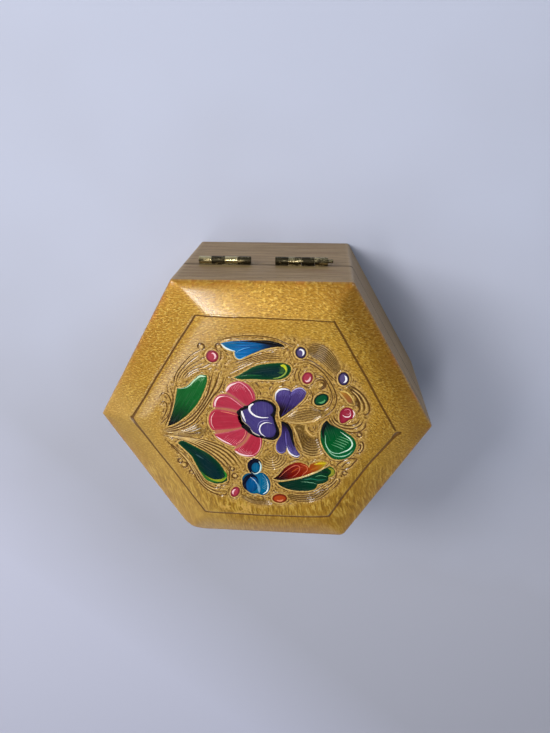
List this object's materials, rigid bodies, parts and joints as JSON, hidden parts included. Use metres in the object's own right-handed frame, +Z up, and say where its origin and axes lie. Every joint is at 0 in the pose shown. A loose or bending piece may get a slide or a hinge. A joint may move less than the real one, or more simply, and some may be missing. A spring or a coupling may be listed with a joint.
{
  "type": "hexagonal wooden trinket box",
  "caption": "Small hexagonal wooden box of mitred boards with a bevelled, painted lid that opens on brass butt hinges at the back.",
  "frame": {"origin": "middle of the underside, on the surface that the box stands on", "axes": "+Z up through the lid, +Y towards the hinges, -Y towards the front, +X to the right seen from the front"},
  "size_m": [0.1164, 0.1031, 0.0578],
  "materials": {
    "wall_wood": "taupe brown stain, matt, horizontal grain",
    "lid_wood": "golden clear lacquer over figured wood, satin, with a painted and carved flower design",
    "inside_wood": "plain sanded wood",
    "hinge_brass": "thin stamped brass, dulled and darkened in patches",
    "brad_brass": "dull brass"
  },
  "bodies": {
    "base": {"bottom_panel": "inside_wood", "base_wall_back": "wall_wood", "base_wall_back_left": "wall_wood", "base_wall_back_right": "wall_wood", "base_wall_front": "wall_wood", "base_wall_front_left": "wall_wood", "base_wall_front_right": "wall_wood", "left_hinge_base_leaf": "hinge_brass", "left_hinge_pin": "hinge_brass", "right_hinge_base_leaf": "hinge_brass", "right_hinge_pin": "hinge_brass", "base_hinge_brads": "brad_brass"},
    "lid": {"lid_panel": "lid_wood", "lid_rim_back": "wall_wood", "lid_rim_back_left": "wall_wood", "lid_rim_back_right": "wall_wood", "lid_rim_front": "wall_wood", "lid_rim_front_left": "wall_wood", "lid_rim_front_right": "wall_wood", "left_hinge_lid_leaf": "hinge_brass", "right_hinge_lid_leaf": "hinge_brass", "lid_hinge_brads": "brad_brass"}
  },
  "joints": [
    {"name": "lid_hinge", "type": "hinge", "parent": "base", "child": "lid", "pos_m": [0, 0.05155, 0.0347], "axis": [-1, 0, 0], "range_deg": [0, 180]}
  ]
}
